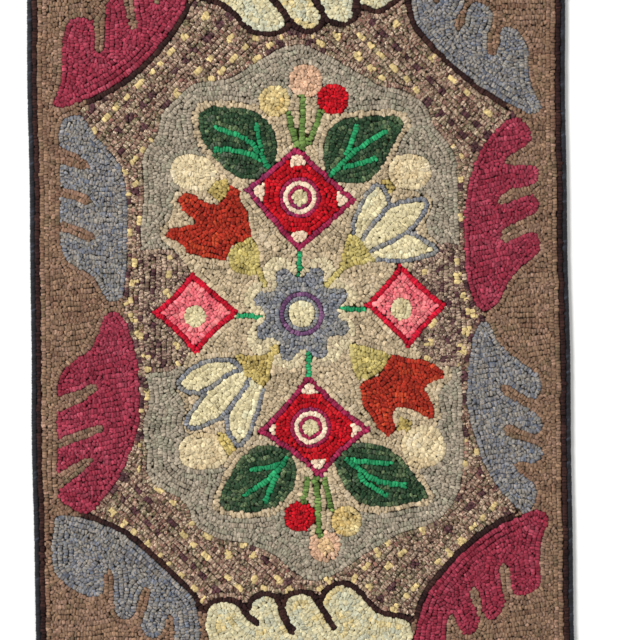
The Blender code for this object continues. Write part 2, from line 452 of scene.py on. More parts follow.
lilyCups = {
    "olive": [
        [(-74, 74), (-66, 80), (-56, 84), (-52, 85), (-47, 76), (-45, 68), (-44, 57), (-44, 48),
         (-48, 42), (-61, 43), (-72, 46), (-78, 53), (-80, 62), (-78, 71)],
        [(58, 89), (64, 86), (71, 79), (79, 69), (86, 59), (85, 56), (74, 53), (59, 50), (51, 48),
         (47, 52), (48, 62), (51, 75)],
        [(55, -39), (68, -38), (84, -44), (101, -49), (96, -60), (86, -71), (70, -77), (63, -74),
         (58, -62)]],
    "ochre": [
        [(-73, -48), (-65, -47), (-51, -49), (-39, -48), (-34, -42), (-29, -37), (-24, -37), (-25, -45),
         (-31, -52), (-34, -63), (-34, -74), (-39, -80), (-46, -83), (-55, -77), (-64, -71), (-68, -64),
         (-72, -56)]],
}
stems = {
    "veinGreen": [[(1, 68), (-1, 44)], [(9, -48), (9, -70)], [(-68, -3), (-45, -4)], [(49, 3), (72, 2)]],
    "stemGreen": [[(7, 242), (5, 185)], [(-9, 222), (-1, 188)], [(27, 224), (13, 191)],
        [(5, -188), (1, -213)], [(15, -189), (19, -250)], [(25, -189), (32, -221)]],
    "olive": [[(-48, 50), (-39, 31)], [(54, 54), (31, 31)]],
}

# The beige ground fills in between the flowers inside the medallion
star = starShape(starFlower["centre"], **starFlower["shape"])
shapes = {
    "leaf": rounded(greenLeaves),
    "rust": rounded(rustLilies, 3),
    "petal": rounded(creamPetals),
    "olive": rounded(lilyCups["olive"]),
    "ochre": rounded(lilyCups["ochre"]),
    "bud": [oval(bud["centre"], *bud["size"], bud["turn"], squareness=2.4) for bud in buds],
    "budCup": [np.array(outline, float) for outline in budCups],
    "berry": [oval(*berry) for berry in zip(berries["centres"], berries["radii"])],
    "diamond": [hollowDiamond(diamond) for diamond in [*redDiamonds.values(), *pinkDiamonds.values()]],
    "star": [star],
}
flowers = np.zeros(labels.shape, bool)
for kind, outlines in shapes.items():
    if kind not in ("bud", "berry"):
        for outline in outlines:
            flowers |= inside(outline)
for path in stems["stemGreen"]:
    flowers |= strokeMask(path, ground["beigeStem"])
beige = grown(grown(flowers, ground["beigeReach"]), -ground["beigeBack"])
paint(beige & medallion, "beige")
for centre, halfWidth, halfLength in ground["sidePatches"]:
    paint(inside(oval(centre, halfWidth, halfLength, squareness=2.6)) & medallion, "mauve")
haloTurn = np.arctan2(gridY - starFlower["centre"][1], gridX - starFlower["centre"][0])
haloReach = starFlower["halo"] + 3.5 * np.cos(4 * haloTurn + 3.3) + 2.5 * np.sin(7 * haloTurn)
paint(outwards(inside(star), starFlower["haloMost"]) < haloReach, "halo")

# Border leaves. Some have the ground between their fingers in the outline, and the others have it as
# slots (x, y, half width)
borderLeaves = {
    "rightMiddle": {
        "dye": "crimson",
        "outline": [(233, 210), (247, 216), (257, 209), (264, 194), (255, 182), (237, 171), (232, 163),
            (250, 161), (268, 161), (272, 151), (265, 140), (237, 135), (225, 123), (229, 116),
            (252, 126), (265, 128), (272, 117), (263, 105), (235, 93), (227, 80), (234, 75), (256, 85),
            (267, 85), (272, 66), (250, 47), (236, 31), (222, 6), (209, -3), (200, 2), (189, 31),
            (186, 67), (187, 106), (190, 131), (197, 159), (207, 180), (219, 197)]},
    "rightLow": {
        "dye": "slate",
        "outline": [(207, -13), (215, -19), (221, -34), (236, -51), (260, -68), (270, -78), (270, -93),
            (263, -102), (248, -96), (234, -86), (224, -85), (230, -97), (247, -107), (265, -119),
            (273, -130), (266, -141), (251, -138), (234, -129), (226, -134), (235, -145), (254, -151),
            (269, -156), (272, -165), (261, -175), (245, -171), (238, -176), (247, -187), (261, -197),
            (264, -211), (252, -231), (242, -224), (223, -205), (204, -173), (198, -154), (188, -118),
            (187, -85), (191, -50), (198, -22)]},
    "leftMiddle": {
        "dye": "slate",
        "outline": [(-262, 222), (-242, 223), (-235, 212), (-224, 198), (-210, 182), (-199, 165),
            (-194, 140), (-193, 95), (-196, 38), (-200, 20), (-208, 14), (-219, 20), (-228, 38),
            (-241, 50), (-260, 60), (-269, 85), (-268, 152), (-269, 203)],
        "slots": [[(-276, 184, 9.0), (-251, 174, 7.9), (-237, 167, 3.4)],
            [(-277, 141, 5.6), (-251, 135, 5.8), (-237, 129, 5.2)],
            [(-278, 103, 5.6), (-252, 96, 5.6), (-235, 88, 5.8)]]},
    "leftLow": {
        "dye": "crimson",
        "outline": [(-209, 4), (-221, -2), (-226, -20), (-232, -29), (-236, -40), (-250, -48),
            (-271, -67), (-275, -95), (-276, -151), (-275, -202), (-262, -217), (-243, -224),
            (-232, -216), (-209, -187), (-195, -160), (-185, -130), (-181, -92), (-184, -54), (-192, -21),
            (-200, -2)],
        "slots": [[(-283, -102, 7.9), (-253, -93, 7.2), (-233, -81, 4.8)],
            [(-283, -147, 4.5), (-252, -136, 5.1), (-226, -127, 4.2)],
            [(-284, -194, 7.9), (-256, -174, 6.8), (-238, -163, 3.4)]]},
    "cornerLowRight": {
        "dye": "crimson",
        "outline": [(253, -230), (263, -226), (274, -230), (277, -240), (270, -257), (266, -278),
            (267, -309), (257, -319), (243, -324), (234, -316), (232, -296), (228, -286), (221, -290),
            (222, -310), (226, -330), (219, -345), (209, -351), (201, -341), (196, -318), (190, -311),
            (187, -319), (192, -335), (197, -352), (190, -365), (179, -366), (170, -350), (165, -341),
            (160, -356), (159, -385), (153, -407), (138, -414), (126, -402), (122, -374), (129, -346),
            (136, -326), (146, -310), (161, -292), (179, -273), (199, -257), (221, -243), (238, -236)]},
    "cornerTopRight": {
        "dye": "slate",
        "outline": [(130, 347), (129, 383), (140, 413), (151, 407), (156, 377), (155, 355), (158, 343),
            (163, 353), (167, 380), (178, 388), (190, 365), (190, 345), (180, 325), (182, 312),
            (189, 321), (196, 342), (205, 347), (220, 337), (223, 326), (216, 308), (216, 289),
            (221, 284), (228, 294), (231, 313), (238, 319), (251, 311), (262, 292), (262, 266),
            (267, 245), (275, 230), (271, 220), (254, 222), (229, 237), (206, 252), (184, 271),
            (162, 291), (138, 320)]},
    "cornerTopLeft": {
        "dye": "crimson",
        "outline": [(-251, 238), (-267, 233), (-275, 239), (-269, 254), (-264, 276), (-263, 310),
            (-256, 330), (-243, 337), (-229, 332), (-214, 349), (-199, 365), (-180, 385), (-163, 398),
            (-142, 415), (-127, 418), (-118, 403), (-118, 378), (-123, 349), (-130, 336), (-139, 322),
            (-152, 305), (-168, 287), (-185, 272), (-202, 260), (-220, 250), (-237, 243)],
        "slots": [[(-222, 359, 10.1), (-221, 326, 6.2), (-221, 299, 4.5)],
            [(-190, 382, 9.0), (-188, 354, 5.1), (-182, 324, 3.9)],
            [(-151, 421, 7.9), (-154, 376, 4.5), (-156, 350, 2.8)]]},
    "cornerLowLeft": {
        "dye": "slate",
        "outline": [(-276, -225), (-251, -227), (-224, -237), (-206, -246), (-188, -258), (-175, -270),
            (-162, -282), (-138, -306), (-126, -319), (-119, -338), (-118, -384), (-122, -412),
            (-134, -414), (-145, -392), (-147, -351), (-151, -336), (-157, -351), (-164, -363),
            (-174, -365), (-183, -356), (-183, -344), (-176, -325), (-173, -311), (-179, -308),
            (-185, -316), (-190, -336), (-202, -345), (-213, -334), (-215, -317), (-215, -293),
            (-219, -284), (-224, -296), (-226, -313), (-236, -318), (-250, -314), (-268, -303),
            (-281, -288), (-284, -264), (-281, -239)]},
}
endLeaves = {
    "low": {
        "outline": [(-111, -344), (-108, -334), (-99, -327), (-84, -326), (-72, -332), (-65, -340),
            (-59, -331), (-53, -323), (-42, -319), (-32, -326), (-26, -337), (-21, -329), (-14, -320),
            (0, -318), (10, -324), (16, -333), (22, -323), (30, -313), (43, -309), (56, -314), (69, -328),
            (80, -340), (96, -345), (113, -348), (120, -356), (120, -373), (102, -395), (45, -412),
            (-20, -414), (-76, -401), (-103, -377), (-111, -358)],
        "slots": [(7.6, [(-71, -329), (-64, -340), (-54, -349)]),
            (9.2, [(-28, -321), (-23, -343), (-14, -358)]),
            (8.4, [(12, -322), (23, -339), (33, -355)])]},  # width, path
    "top": {
        "outline": [(-123, 366), (-103, 358), (-83, 351), (-67, 340), (-54, 324), (-37, 317), (-20, 318),
            (-11, 324), (-6, 333), (0, 326), (11, 319), (23, 321), (30, 334), (39, 330), (51, 326),
            (61, 329), (68, 341), (78, 345), (92, 340), (105, 347), (122, 363), (118, 386), (88, 404),
            (40, 416), (-21, 419), (-77, 412), (-118, 397), (-134, 380)],
        "slots": [(8.6, [(-37, 374), (-27, 355), (-15, 340), (-5, 324)]),
            (8.6, [(15, 378), (22, 354), (28, 341), (34, 327)]),
            (9.2, [(72, 377), (69, 350), (69, 334)])]},  # width, path
}
leafMasks = {name: inside(smoothPath(leaf["outline"], True, 4))
             for name, leaf in {**borderLeaves, **endLeaves}.items()}


def leafOutline(name):
    # the brown row round a leaf, where it borders the middle ground
    outlineRow(leafMasks[name], ground["leafRow"] / 2, "brown", ground["leafRow"], over=["tweed", "sage"])


for name, leaf in endLeaves.items():
    leafOutline(name)
    paint(leafMasks[name], "endCream")
    for width, slot in leaf["slots"]:
        drawnRow(smoothPath(slot), "brown", width)
for name, leaf in borderLeaves.items():
    if name.startswith("corner"):
        leafOutline(name)
    painted = paint(leafMasks[name], leaf["dye"])
    for slot in leaf.get("slots", ()):
        paint(strokeMask(smoothPath(slot)) & painted, "slotTaupe")
outlineRow(rugMask, -ground["edgeRow"] / 2, "brown", ground["edgeRow"])


def paintShapes(kind, dye):
    for outline in shapes[kind]:
        paint(inside(outline), dye)


lineWidths = {"petalLine": 5.8, "vein": 6.8, "stemGreen": 7.5, "veinGreen": 6.3, "olive": 6.3}
for kind, dye in (("leaf", "leafGreen"), ("rust", "rust"), ("bud", "budCream"), ("budCup", "ochre")):
    paintShapes(kind, dye)
for outline, dye in zip(shapes["berry"], berries["dyes"]):
    paint(inside(outline), dye)
paint(inside(oval(*berries["inner"])), "apricot")
for kind, dye in (("olive", "olive"), ("ochre", "ochre"), ("petal", "cream")):
    paintShapes(kind, dye)
for path in petalLines:
    drawnRow(smoothPath(path), "blueGrey", lineWidths["petalLine"])
paint(inside(star), "blueGrey")
for radius, dye, width in starFlower["rings"]:
    drawnRow(oval(starFlower["centre"], radius), dye, width, True)
paint(inside(oval(starFlower["centre"], starFlower["eye"])), "cream")

diamondFinish = {"border": 6.5, "tipNear": 8, "tipFar": 23, "tipHalf": 10.5, "pinkEye": 12.5,
                 "rings": [(20.9, "wine", 5.0), (16.1, "ringCream", 5.4), (11.1, "wine", 5.0)], "eye": 8.6}
for diamond in redDiamonds.values():
    mask = inside(hollowDiamond(diamond))
    paint(mask, "red")
    eye = np.array(diamond["eye"], float)
    for tip in diamond["tips"]:
        toEye = eye - tip
        toEye /= np.hypot(*toEye)
        across = np.array([-toEye[1], toEye[0]]) * diamondFinish["tipHalf"]
        back = tip + toEye * diamondFinish["tipFar"]
        corner = np.array([tip + toEye * diamondFinish["tipNear"], back + across, back - across])
        paint(inside(corner), "ringCream")
    outlineRow(mask, -diamondFinish["border"] / 2, "wine", diamondFinish["border"])
    for radius, dye, width in diamondFinish["rings"]:
        drawnRow(oval(diamond["eye"], radius), dye, width, True)
    paint(inside(oval(diamond["eye"], diamondFinish["eye"])), "paleGreen")
for diamond in pinkDiamonds.values():
    mask = inside(hollowDiamond(diamond))
    paint(mask, "pink")
    outlineRow(mask, -diamondFinish["border"] / 2, "hotRed", diamondFinish["border"])
    paint(inside(oval(diamond["eye"], diamondFinish["pinkEye"])), "paleGreen")
for dye, paths in stems.items():
    for path in paths:
        drawnRow(smoothPath(path), dye, lineWidths[dye])
for path in leafVeins:
    drawnRow(smoothPath(path), "veinGreen", lineWidths["vein"])
print("pattern drawn,", len(lineRows), "line rows")


# Rows of loops: first the lines, then rows that follow the edges of each colour, then the gaps
loopPitch = 3.45
loops = {"x": [], "y": [], "angle": [], "width": [], "label": [], "row": []}
binSize, binReach = 4.0, 2  # loops are looked up in square bins
bins = {}


def lengthAlong(path):
    return np.concatenate([[0], np.cumsum(np.hypot(*np.diff(path, axis=0).T))])


def pointAt(at, s, path):
    return np.interp(at, s, path[:, 0]), np.interp(at, s, path[:, 1])


def evenly(path, closed):
    # points and directions at equal steps of about the loops' pitch
    if closed:
        path = np.vstack([path, path[:1]])
    s = lengthAlong(path)
    count = max(1, round(s[-1] / loopPitch))
    at = (np.arange(count) + 0.5) * s[-1] / count
    reach = min(loopPitch, s[-1] / 2)
    low, high = at - reach, at + reach
    if closed:
        low, high = low % s[-1], high % s[-1]
    x, y = pointAt(at, s, path)
    dx, dy = np.subtract(pointAt(high, s, path), pointAt(low, s, path))
    return x, y, np.arctan2(dy, dx)


def isClear(x, y, angle, width, least):
    # true where no loop lies nearer than least, in loop sizes
    i, j = int(x // binSize), int(y // binSize)
    ca, sa = math.cos(angle), math.sin(angle)
    for q in range(j - binReach, j + binReach + 1):
        for p in range(i - binReach, i + binReach + 1):
            for m in bins.get((p, q), ()):
                dx, dy = loops["x"][m] - x, loops["y"][m] - y
                if dx * dx + dy * dy > row * row:
                    continue
                across = (width + loops["width"][m]) / 2
                cb, sb = math.cos(loops["angle"][m]), math.sin(loops["angle"][m])
                u, v = (dx * ca + dy * sa) / loopPitch, (dy * ca - dx * sa) / across
                u2, v2 = (dx * cb + dy * sb) / loopPitch, (dy * cb - dx * sb) / across
                if 0.5 * (u * u + v * v + u2 * u2 + v2 * v2) < least * least:
                    return False
    return True


def addLoop(x, y, angle, width, label, rowNumber):
    bins.setdefault((int(x // binSize), int(y // binSize)), []).append(len(loops["x"]))
    for key, value in zip(loops, (x, y, angle, width, label, rowNumber)):
        loops[key].append(value)


def cellOf(x, y):
    i = np.clip(((np.asarray(x) - gridLow[0]) / cell).astype(int), 0, cellsX - 1)
    j = np.clip(((np.asarray(y) - gridLow[1]) / cell).astype(int), 0, cellsY - 1)
    return j, i


spacing = {"rows": 0.70, "lines": 0.62}  # the least distance between loops, in loop sizes
rowCount = 0
for path, closed, width, dye in lineRows:
    x, y, angle = evenly(path, closed)
    here = labels[cellOf(x, y)] == dyeNumber[dye]
    for point in zip(x[here].tolist(), y[here].tolist(), angle[here].tolist()):
        if isClear(*point, width, spacing["lines"]):
            addLoop(*point, width, dyeNumber[dye], rowCount)
    rowCount += 1
print("line rows hooked:", len(loops["x"]), "loops")

farthest = 60
rowKinds = np.where(labels == dyeNumber["mauve"], dyeNumber["tweed"], labels)  # one ground to the hooker
edgeAway = blurred(toOther(rowKinds, farthest), 1, 1)
# The hand's slow wander off a true row
wander = (0.55 * np.sin(gridX / 19 + 1.7 * np.sin(gridY / 31))
          + 0.5 * np.sin(gridY / 16 + 1.9 * np.sin(gridX / 27 + 1))
          + 0.35 * np.sin((gridX + gridY) / 9 + np.sin(gridY / 11)))
rowField = (edgeAway + wander * np.clip((edgeAway - 4) / 12, 0, 1)) / row
rowField[labels < 0] = 0
shortest = {"followed": 2, "straight": 4}
fillRows = []
for k in range(int(rowField.max() + 1)):
    for path, closed in contourLines(rowField, k + 0.5):
        length = np.hypot(*np.diff(path, axis=0).T).sum()
        if length > shortest["followed"]:
            fillRows.append((k, -length, path, closed))

# Slanting rows of tweed ground; those numbered here carry dashes of another dye
fleckBand = {
    "from": 72, "first": 252, "along": 18.0, "missing": 0.12, "mixedFrom": 140,
    "kinds": {-9: "plum", -8: "yellow", -4: "plum", -3: "yellow", 0: "yellow", 3: "mixed", 6: "plum",
              9: "yellow", 12: "plum"},
    "halfLength": {"yellow": 4.3, "plum": 4.6}, "rowsWide": {"yellow": 0.6, "plum": 0.85},
}


def layRows(area, across, inset):
    # straight rows a row width apart along the field across, a little inside the area
    area = area & (edgeAway > row * inset)
    rowAt = np.where(area, across / row, -1000)
    for k in range(int(rowAt[area].min()), int(rowAt[area].max()) + 1):
        for path, closed in contourLines(rowAt, k + 0.5):
            kept = area[cellOf(*path.T)]
            if kept.sum() > shortest["straight"]:
                fillRows.append((0.5, k, path[kept], False))


# Near-level rows in the side leaves and the side ground, with how far they rise towards the right
levelRows = {"rightMiddle": 0.14, "rightLow": 0.14, "leftMiddle": -0.12, "leftLow": 0.10, "ground": 0.03}
insets = {"level": 0.9, "slanting": 0.45, "upright": 0.6}  # in row widths
sway = (2.2 * np.sin(gridX / 24 + 1.3 * np.sin(gridY / 37))
        + 1.2 * np.sin(gridX / 9.5 + 2 * np.sin(gridY / 15)))
for name, rise in levelRows.items():
    dye = borderLeaves[name]["dye"] if name in borderLeaves else "taupe"
    area = leafMasks[name] if name in leafMasks else np.abs(gridX) > ground["sideFrom"]
    layRows(area & (labels == dyeNumber[dye]), gridY - rise * gridX + sway, insets["level"])
tweedGround = rowKinds == dyeNumber["tweed"]
slanting = np.abs(gridY) > fleckBand["from"]
bandAcross = (np.abs(gridX) + np.abs(gridY)) / math.sqrt(2)
layRows(tweedGround & slanting, bandAcross - fleckBand["first"] + 0.5 * row, insets["slanting"])
layRows(tweedGround & ~slanting, np.abs(gridX) - ground["sideFrom"] + 0.4 * sway, insets["upright"])
fillRows.sort(key=lambda entry: entry[:2])
for k, _, path, closed in fillRows:
    x, y, angle = evenly(path, closed)
    dye = labels[cellOf(x, y)]
    for point, label in zip(zip(x.tolist(), y.tolist(), angle.tolist()), dye.tolist()):
        if label >= 0 and isClear(*point, row, spacing["rows"]):
            addLoop(*point, row, label, rowCount)
    rowCount += 1
print("rows hooked:", len(loops["x"]), "loops")


def gapMap():
    # for each cell, how far the nearest loop is, in loop sizes
    reach, far = 7, 9.0
    near = np.full(labels.shape, far)
    x, y, angle, width = (np.array(loops[key]) for key in ("x", "y", "angle", "width"))
    ca, sa = np.cos(angle), np.sin(angle)
    j0, i0 = cellOf(x, y)
    for oy in range(-reach, reach + 1):
        for ox in range(-reach, reach + 1):
            i, j = i0 + ox, j0 + oy
            ok = (i >= 0) & (i < cellsX) & (j >= 0) & (j < cellsY)
            dx, dy = xs[i[ok]] - x[ok], ys[j[ok]] - y[ok]
            u, v = dx * ca[ok] + dy * sa[ok], dy * ca[ok] - dx * sa[ok]
            np.minimum.at(near, (j[ok], i[ok]), np.hypot(u / loopPitch, v / width[ok]))
    near[labels < 0] = 0
    return near


slopeY, slopeX = np.gradient(blurred(edgeAway, 2, 1))
flowX = blurred(slopeX * slopeX - slopeY * slopeY, 3, 2)
flowY = blurred(2 * slopeX * slopeY, 3, 2)
rowAngle = 0.5 * np.arctan2(flowY, flowX) + math.pi / 2
gapRounds = [  # gaps wider than size get a loop no nearer than least, in loop sizes; widths in rows
    {"size": 0.72, "least": 0.66, "width": 0.95, "inset": 1.2},
    {"size": 0.64, "least": 0.56, "width": 0.62, "inset": 1.2},
    {"size": 0.8, "least": 0.5, "width": 0.5, "inset": 0.3},
]
for gap in gapRounds:
    near = gapMap()
    gapJ, gapI = np.nonzero((near > gap["size"]) & (edgeAway > gap["inset"]))
    for o in np.argsort(-near[gapJ, gapI]):
        j, i = gapJ[o], gapI[o]
        if isClear(xs[i], ys[j], rowAngle[j, i], row * gap["width"], gap["least"]):
            addLoop(xs[i], ys[j], rowAngle[j, i], row * gap["width"], int(labels[j, i]), -1)
    print("gaps filled:", len(loops["x"]), "loops")
place = np.stack([loops["x"], loops["y"]], 1)
angle, width, label, rowNumber = (np.array(loops[key]) for key in ("angle", "width", "label", "row"))


def closePairs(points, reach):
    # the numbers of all pairs of points nearer than reach
    grid = np.floor(points / reach).astype(int)
    grid -= grid.min(0)
    stride = grid[:, 0].max() + 3
    key = (grid[:, 1] + 1) * stride + grid[:, 0] + 1
    order = np.argsort(key, kind="stable")
    ranked = key[order]
    firsts, seconds = [], []
    for offset in (0, 1, stride - 1, stride, stride + 1):
        low = np.searchsorted(ranked, key + offset, "left")
        count = np.searchsorted(ranked, key + offset, "right") - low
        source = np.repeat(np.arange(len(points)), count)
        within = np.arange(count.sum()) - np.repeat(np.cumsum(count) - count, count)
        target = order[np.repeat(low, count) + within]
        keep = source < target if offset == 0 else np.ones(len(source), bool)
        firsts.append(source[keep])
        seconds.append(target[keep])
    a, b = np.concatenate(firsts), np.concatenate(seconds)
    close = np.hypot(*(points[a] - points[b]).T) < reach
    return a[close], b[close]


settling = {"rounds": 10, "reach": 1.05, "stiffness": 0.35, "most": 0.6, "edge": 1.3}
for _ in range(settling["rounds"]):
    a, b = closePairs(place, row * settling["reach"])
    gap = place[b] - place[a]
    across = (width[a] + width[b]) / 2
    push = np.zeros_like(place)
    for turn in (angle[a], angle[b]):
        ca, sa = np.cos(turn), np.sin(turn)
        u, v = (gap[:, 0] * ca + gap[:, 1] * sa) / loopPitch, (gap[:, 1] * ca - gap[:, 0] * sa) / across
        size = np.hypot(u, v) + 1e-6
        force = np.clip(1 - size, 0, None) / size * 0.5 * settling["stiffness"]
        fu, fv = force * u * loopPitch, force * v * across
        for side, sign in ((a, -1), (b, 1)):
            push[:, 0] += np.bincount(side, (fu * ca - fv * sa) * sign, len(place))
            push[:, 1] += np.bincount(side, (fu * sa + fv * ca) * sign, len(place))
    moved = place + np.clip(push, -settling["most"], settling["most"])
    j, i = cellOf(moved[:, 0], moved[:, 1])
    ok = (labels[j, i] == label) & (edgeAway[j, i] > settling["edge"])
    place[ok] = moved[ok]
print("loops settled")


# A strip colour for every loop, in short runs along its row

def linear(colour):
    # from sRGB of 0 to 255
    c = np.asarray(colour, float) / 255
    return np.where(c <= 0.04045, c / 12.92, ((c + 0.055) / 1.055) ** 2.4)


def cloudAt(x, y, size, seed):
    # a soft random field from 0 to 1, made of a few waves
    waves = np.random.default_rng(seed)
    total = np.zeros(np.shape(x))
    for _ in range(6):
        heading, phase = waves.uniform(0, 2 * math.pi, 2)
        length = size * waves.uniform(0.6, 1.5)
        total += np.sin((x * math.cos(heading) + y * math.sin(heading)) * 2 * math.pi / length + phase)
    return 0.5 + 0.5 * np.tanh(total / 1.6)


runLength = {"least": 2, "most": 7}
order = np.argsort(rowNumber, kind="stable")
picks = rng.random(len(place))
heldUntil, held, lastRow = -1, 0.0, -2
for position, index in enumerate(order):
    if rowNumber[index] < 0:
        continue
    if position > heldUntil or rowNumber[index] != lastRow:
        heldUntil = position + rng.integers(runLength["least"], runLength["most"])
        held = rng.random()
        lastRow = rowNumber[index]
    picks[index] = held
patches = {"large": {"size": 70, "seed": 11, "share": 0.6}, "small": {"size": 22, "seed": 12, "share": 0.4}}
clouds = sum(cloudAt(*place.T, patch["size"], patch["seed"]) * patch["share"] for patch in patches.values())
loopCorners = 16
tone = np.zeros((len(place), 3))
stray = np.zeros((len(place), loopCorners, 3))  # odd threads, corner by corner
heather = np.zeros(len(place))
for number, dye in enumerate(dyes.values()):
    mine = np.nonzero(label == number)[0]
    strips = np.array(dye["strips"], float)
    threads = np.array(dye.get("threads", dye["strips"]), float)
    shares = np.cumsum(strips[:, 3]) / strips[:, 3].sum()
    value = (1 - dye["patchy"]) * picks[mine] + dye["patchy"] * clouds[mine]
    which = np.minimum(np.searchsorted(shares, value), len(shares) - 1)
    tone[mine] = linear(strips[:, :3])[which]
    odd = rng.choice(len(threads), (len(mine), loopCorners), p=threads[:, 3] / threads[:, 3].sum())
    stray[mine] = linear(threads[:, :3])[odd]
    heather[mine] = dye.get("heather", 0.5)

# Tweed ground: dashes of plum and yellow in some slanting rows, and in rows beside the side leaves
leafFlecks = {
    "period": 22.0, "low": -118, "high": 68, "missing": 0.1, "reach": 56,
    "rows": {0: ("plum", 0.1, 0.6), 1: ("yellow", 0.55, 1.0), 2: ("plum", 0.6, 0.95),
             4: ("plum", 0.1, 0.5), 7: ("yellow", 0.0, 0.45)},  # rows off the leaf: kind, start, end
}
tweedLike = np.isin(label, [dyeNumber["tweed"], dyeNumber["mauve"]])
sideLeaves = np.any([leafMasks[name] for name in levelRows if name in leafMasks], axis=0)
besideLeaf = outwards(sideLeaves, leafFlecks["reach"])[cellOf(*place.T)]


def fleck(members, kind):
    tone[members] = linear(flecks[kind])
    heather[members] = fleckHeather


placeX, placeY = np.abs(place).T
across = ((placeX + placeY) / math.sqrt(2) - fleckBand["first"]) / row
along = (placeX - placeY) / math.sqrt(2) / fleckBand["along"]
for number, kinds in fleckBand["kinds"].items():
    # a slightly uneven beat along each row, with some dashes left out
    beat = along + 0.12 * np.sin(along * 1.9 + number) + 0.3 * number
    quadrant = np.sign(place[:, 0]) + 3 * np.sign(place[:, 1])
    present = cloudAt(np.floor(beat) * 31.7, number * 17.3 + quadrant * 5.1, 5, 21) > fleckBand["missing"]
    for kind, halfLength in fleckBand["halfLength"].items():
        mixed = (placeX > fleckBand["mixedFrom"]) == (kind == "plum")
        here = kinds == kind or (kinds == "mixed") & mixed
        fromMiddle = (beat % 1 - 0.5) * fleckBand["along"] / halfLength
        dash = np.hypot(fromMiddle, (across - number) / fleckBand["rowsWide"][kind]) < 1
        fleck(here & dash & present & tweedLike & (placeY > fleckBand["from"]), kind)
level = (place[:, 1] > leafFlecks["low"]) & (place[:, 1] < leafFlecks["high"])
for rowsOff, (kind, first, last) in leafFlecks["rows"].items():
    beside = tweedLike & level & (np.floor(besideLeaf / row) == rowsOff)
    phase = (place[:, 1] / leafFlecks["period"] + 0.2 * np.sin(place[:, 1] / 37)) % 1
    present = rng.random(len(place)) > leafFlecks["missing"]
    fleck(beside & (phase > first) & (phase < last) & present, kind)


def lightnessOf(tone):
    return np.sqrt(tone @ (0.2126, 0.7152, 0.0722))


toneSwing = ((0.52, 0.68), (0.27, 0.1))  # lightness and swing: pale wool is more even
swing = np.interp(lightnessOf(tone), *toneSwing)
tone *= (1 + swing * rng.standard_normal(len(place)))[:, None].clip(0.6, 1.45)
print("dyes picked")


# One loop: a stitch on the reverse, a ring at its shoulders and four corners round its flattened crown
loopShape = {
    "shoulder": 5.9, "crown": 7.45, "crownSwing": 0.34, "crownMost": 7.95,
    "bridge": 1.0,  # neighbours in a row lean on each other, so rows read as ropes
    "paleLift": 0.9, "paleFrom": (0.48, 0.7),  # light shines through pale wool
    "flat": (0.47, 0.65), "squareness": 5.0, "widthShare": 1.05, "pitchShare": 1.42, "stitch": (4.2, 5.8),
    "turnSwing": 10.0, "sizeSwing": 0.11, "placeSwing": 0.26, "outlineSwing": 0.06, "ringSwing": 0.35,
    "lean": 0.18, "tilt": 0.3, "rimDroop": 0.8, "droopWidth": 8,
    "creaseShade": ((0.2, 0.52, 0.62, 0.7), (0.14, 0.16, 0.5, 0.85)),  # painted shade at each loop's shoulder ring, by the dye's lightness: dark dyes get deeper painted creases
    # stitchShade is painted shade on the stitch underneath; speckle is random tone per point
    "stitchShade": 0.8, "speckle": 0.2, "stitchLow": 0.03, "stitchSwing": 0.2,
}
wallFaces = []
for s in range(4):  # bottom corner, next bottom corner, then the ring above them
    a, b = s, (s + 1) % 4
    ra, rm, rb = 4 + (2 * s - 1) % 8, 4 + 2 * s, 4 + 2 * s + 1
    wallFaces += [(a, b, rm), (a, rm, ra), (b, rb, rm)]
capFaces = [(16, 19, 18), (16, 18, 17)]  # the bottom corners again, numbered on from the sixteen
topFaces = [(12, 13, 14), (12, 14, 15)]
for s in range(4):  # each side of the crown: the ring's middle point there and the corners on both sides
    middle, corner, nextCorner = 4 + 2 * s, 12 + s, 12 + (s + 1) % 4
    topFaces += [(4 + (2 * s - 1) % 8, middle, corner), (middle, middle + 1, nextCorner),
                 (middle, nextCorner, corner)]
loopFaces = np.array(wallFaces + capFaces + topFaces)


def loopPoints(count):
    # local u (along the row), v (across it) and z of every loop's corners
    shape = loopShape
    size = 1 + shape["sizeSwing"] * rng.standard_normal((count, 2)).clip(-2, 2)
    halfU = loopPitch / 2 * shape["pitchShare"] * size[:, 0]
    halfV = width / 2 * shape["widthShare"] * size[:, 1]
    rimAway = -outwards(rugMask, shape["droopWidth"] + 4)[cellOf(*place.T)]
    droop = shape["rimDroop"] * np.clip(1 - rimAway / shape["droopWidth"], 0, 1)
    crown = shape["crown"] + shape["crownSwing"] * rng.standard_normal(count).clip(-1.6, 1.6) - droop
    crown = np.minimum(crown, shape["crownMost"])
    u, v, z = (np.zeros((count, loopCorners)) for _ in range(3))
    tilt = shape["tilt"] * rng.standard_normal((2, count))
    for k, (su, sv) in enumerate(((1, -1), (1, 1), (-1, 1), (-1, -1))):
        u[:, k], v[:, k] = su * shape["stitch"][0] / 2, sv * shape["stitch"][1] / 2
        lean = shape["lean"] * rng.standard_normal((2, count))
        u[:, 12 + k] = su * shape["flat"][0] * halfU + lean[0]
        v[:, 12 + k] = sv * shape["flat"][1] * halfV + lean[1]
        z[:, 12 + k] = crown + tilt[0] * su + tilt[1] * sv
    z[:, :4] = (shape["stitchLow"] + shape["stitchSwing"] * rng.random(count))[:, None]
    power = 2 / shape["squareness"]
    for k in range(8):
        c, s = round(math.cos(k * math.pi / 4), 6), round(math.sin(k * math.pi / 4), 6)
        wobble = 1 + shape["outlineSwing"] * rng.standard_normal(count).clip(-2, 2)
        u[:, 4 + k] = halfU * math.copysign(abs(c) ** power, c) * wobble
        v[:, 4 + k] = halfV * math.copysign(abs(s) ** power, s) * wobble
    z[:, 4:12] = (crown - (shape["crown"] - shape["shoulder"]))[:, None]
    z[:, 4:12] += shape["ringSwing"] * rng.standard_normal((count, 8)).clip(-1.5, 1.5) + paleLift[:, None]
    z[:, [4, 8]] += shape["bridge"]
    return u, v, np.minimum(z, shape["crownMost"])


